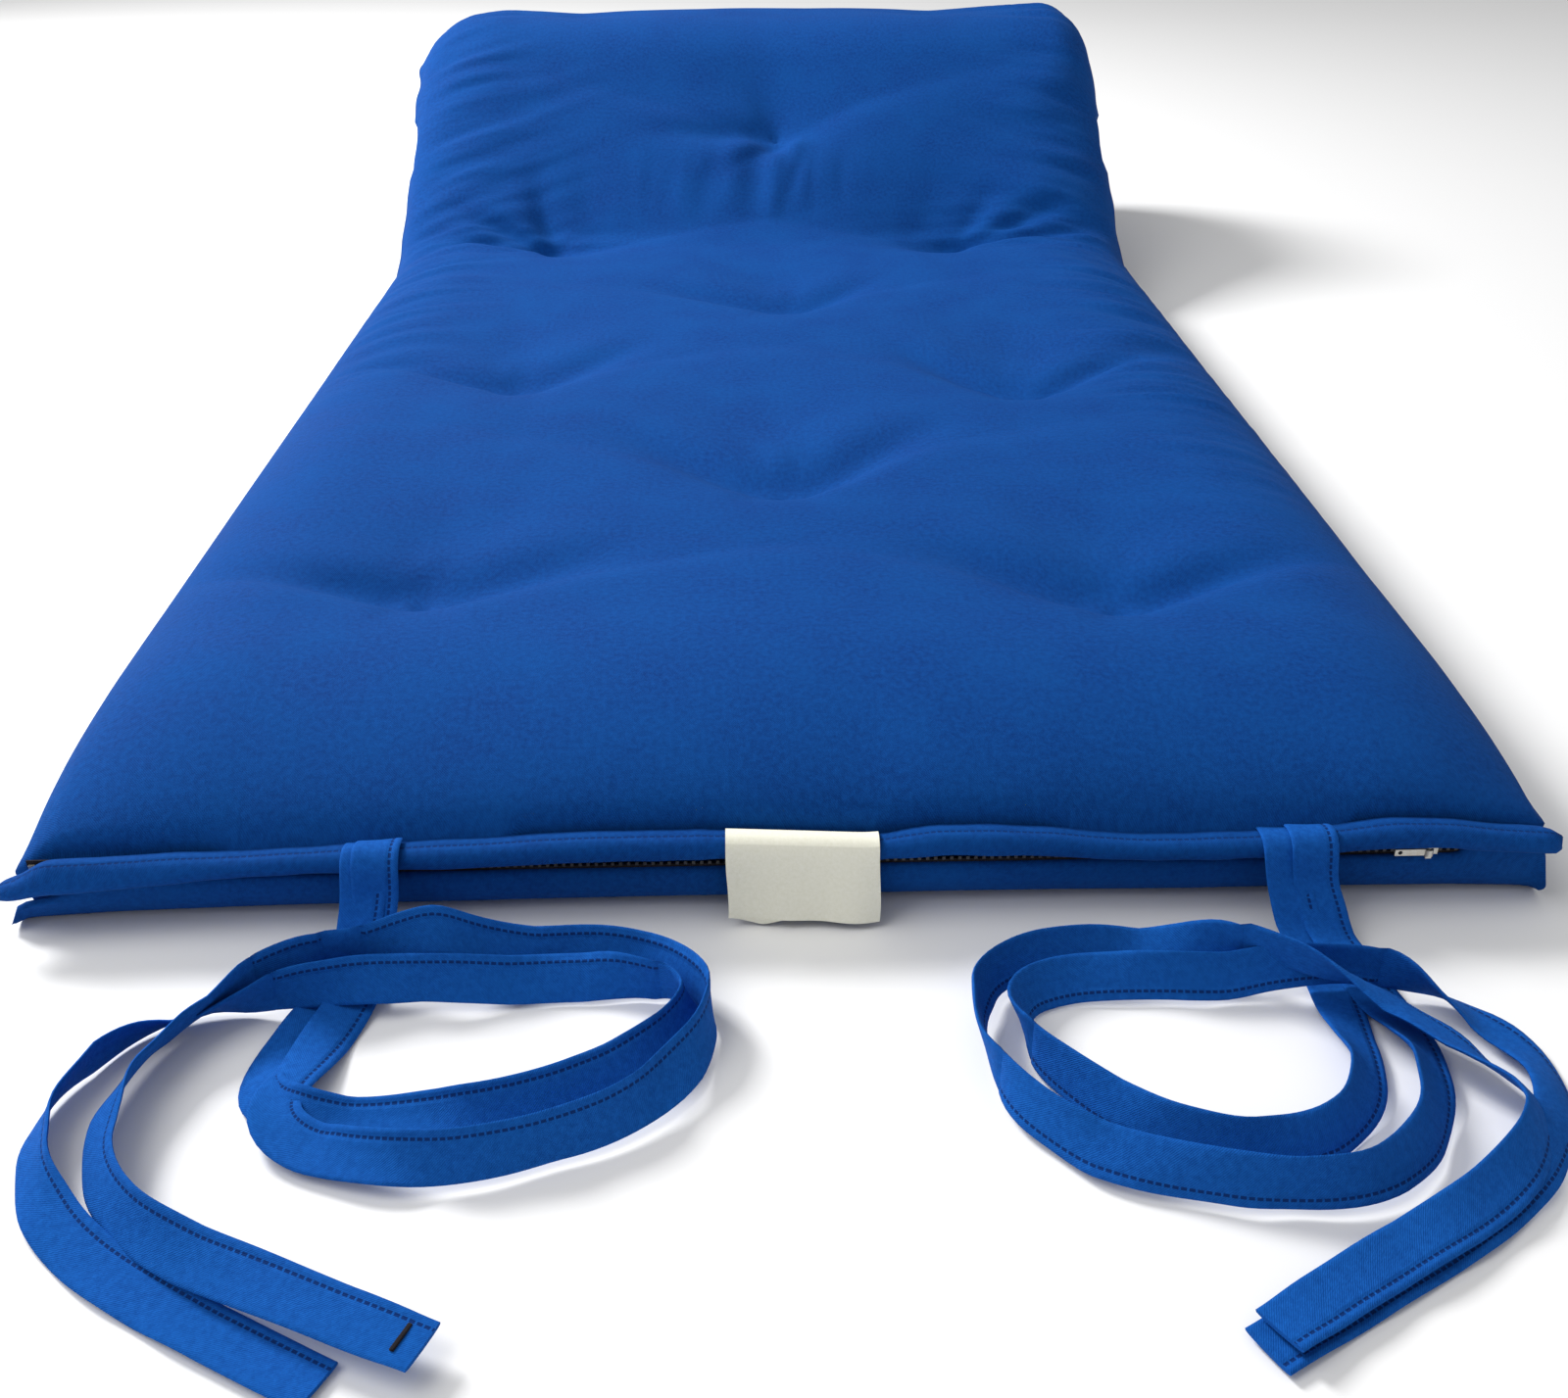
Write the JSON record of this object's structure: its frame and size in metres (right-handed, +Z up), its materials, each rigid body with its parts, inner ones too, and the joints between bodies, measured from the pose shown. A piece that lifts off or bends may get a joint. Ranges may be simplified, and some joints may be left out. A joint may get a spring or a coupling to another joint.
{
  "type": "futon mattress",
  "caption": "Tufted roll-up floor futon mattress with a zipped foot edge, cloth label and sewn ties, its head end rolled under as a raised rest.",
  "frame": {"origin": "centre of the footprint of the mattress, zipper and label, on the floor; the four loose ties are left out of it", "axes": "+Y from the zipped foot edge to the rolled head end, +X to the right seen from the foot, +Z up"},
  "size_m": [0.762, 1.8183, 0.259],
  "materials": {
    "cover_fabric": "royal blue cotton and polyester twill, matte with a soft sheen",
    "batting": "off-white fibre batting",
    "foam": "cream open-cell foam",
    "twine": "blue twisted tufting twine",
    "zipper_tape": "black woven tape",
    "zipper_teeth": "black moulded plastic",
    "zipper_metal": "worn nickel plate",
    "label_cloth": "cream woven label cloth",
    "tie_fabric": "royal blue twill, folded and topstitched"
  },
  "bodies": {
    "foot_section": {"cover_top_foot": "cover_fabric", "cover_bottom_foot": "cover_fabric", "batting_top_foot": "batting", "batting_bottom_foot": "batting", "foam_core_foot": "foam", "tuft_stitches_foot": "twine", "front_flap": "cover_fabric", "front_hem": "cover_fabric", "zipper_tape_upper": "zipper_tape", "zipper_tape_lower": "zipper_tape", "zipper_teeth_upper": "zipper_teeth", "zipper_teeth_lower": "zipper_teeth", "zipper_stops": "zipper_metal", "tie_anchor_left": "tie_fabric", "tie_anchor_right": "tie_fabric", "tie_left_inner": "tie_fabric", "tie_left_outer": "tie_fabric", "tie_right_inner": "tie_fabric", "tie_right_outer": "tie_fabric"},
    "middle_section": {"cover_top_middle": "cover_fabric", "cover_bottom_middle": "cover_fabric", "batting_top_middle": "batting", "batting_bottom_middle": "batting", "foam_core_middle": "foam", "tuft_stitches_middle": "twine"},
    "head_section": {"cover_top_ramp": "cover_fabric", "cover_bottom_ramp": "cover_fabric", "batting_top_ramp": "batting", "batting_bottom_ramp": "batting", "foam_core_ramp": "foam", "tuft_stitches_ramp": "twine", "cover_top_roll": "cover_fabric", "cover_bottom_roll": "cover_fabric", "batting_top_roll": "batting", "batting_bottom_roll": "batting", "foam_core_roll": "foam", "tuft_stitches_roll": "twine"},
    "slider": {"zipper_slider": "zipper_metal"},
    "pull": {"zipper_pull": "zipper_metal"},
    "label_flap": {"label": "label_cloth"}
  },
  "joints": [
    {"name": "middle_fold", "type": "hinge", "parent": "foot_section", "child": "middle_section", "pos_m": [0, -0.24877, 0.088], "axis": [1, 0, 0], "range_deg": [0, 80]},
    {"name": "head_fold", "type": "hinge", "parent": "middle_section", "child": "head_section", "pos_m": [0, 0.15723, 0.088], "axis": [1, 0, 0], "range_deg": [0, 120]},
    {"name": "zipper_slide", "type": "slide", "parent": "foot_section", "child": "slider", "axis": [1, 0, 0], "range_m": [-0.65, 0]},
    {"name": "pull_swing", "type": "hinge", "parent": "slider", "child": "pull", "pos_m": [0.318, -0.76787, 0.032], "axis": [0, 0, 1], "range_deg": [0, 170]},
    {"name": "label_lift", "type": "hinge", "parent": "foot_section", "child": "label_flap", "pos_m": [0.0075, -0.77427, 0.041], "axis": [-1, 0, 0], "range_deg": [0, 150]}
  ]
}
